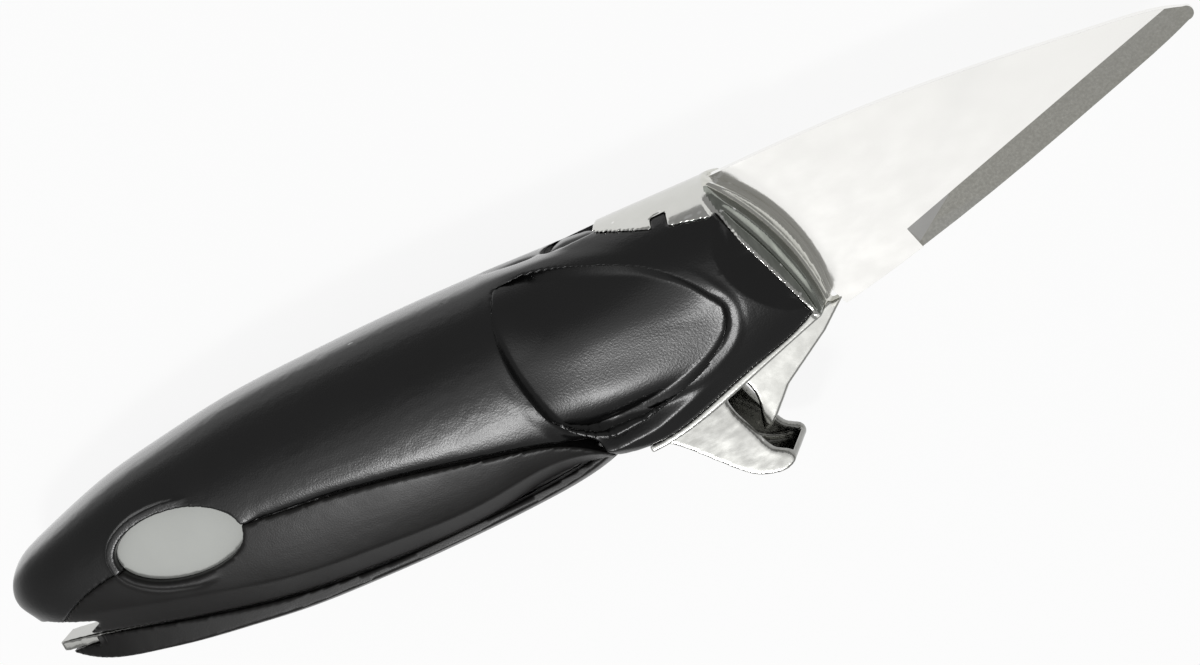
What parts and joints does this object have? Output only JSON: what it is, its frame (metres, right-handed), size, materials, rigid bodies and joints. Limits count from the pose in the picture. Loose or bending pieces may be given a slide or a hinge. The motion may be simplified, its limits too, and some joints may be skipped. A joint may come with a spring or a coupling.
{
  "type": "oyster knife",
  "caption": "Oyster knife with a flat pointed blade, a stepped metal ferrule with a shell notching tooth, a moulded handle and a sprung lever along its belly that ends in a stirrup.",
  "frame": {"origin": "middle of the bounding box in X and Y, at the face that it lies on", "axes": "+X from the tail nose to the blade's point, +Y towards the back of the handle, +Z through the thickness, away from the side that it lies on"},
  "size_m": [0.196, 0.0442, 0.024],
  "materials": {
    "blade_steel": "polished flats with brushed ground bevels",
    "ferrule_steel": "satin with polished edges",
    "lever_steel": "satin",
    "pin_steel": "turned",
    "spring_steel": "drawn wire",
    "insert_brass": "turned",
    "handle_plastic": "satin with fine moulded texture",
    "inlay_plastic": "fine matte"
  },
  "bodies": {
    "handle": {"blade": "blade_steel", "ferrule": "ferrule_steel", "upper_shell": "handle_plastic", "belly_shell": "handle_plastic", "eye_inlay_near": "inlay_plastic", "eye_inlay_far": "inlay_plastic", "tang_pin_rear": "pin_steel", "tang_pin_front": "pin_steel", "pivot_pin": "pin_steel", "pivot_sleeve": "pin_steel", "pivot_washer_near": "pin_steel", "pivot_washer_far": "pin_steel", "closing_spring": "spring_steel", "shell_screw_rear": "pin_steel", "shell_screw_front": "pin_steel", "screw_insert_rear": "insert_brass", "screw_insert_front": "insert_brass"},
    "lever": {"lever_core": "lever_steel", "lever_cover": "handle_plastic"}
  },
  "joints": [
    {"name": "lever_pivot", "type": "hinge", "parent": "handle", "child": "lever", "pos_m": [0.0255, 0.0005, 0.012], "axis": [0, 0, 1], "range_deg": [0, 20], "stiffness_Nm_per_rad": 0.6, "springref_deg": -20.05}
  ]
}
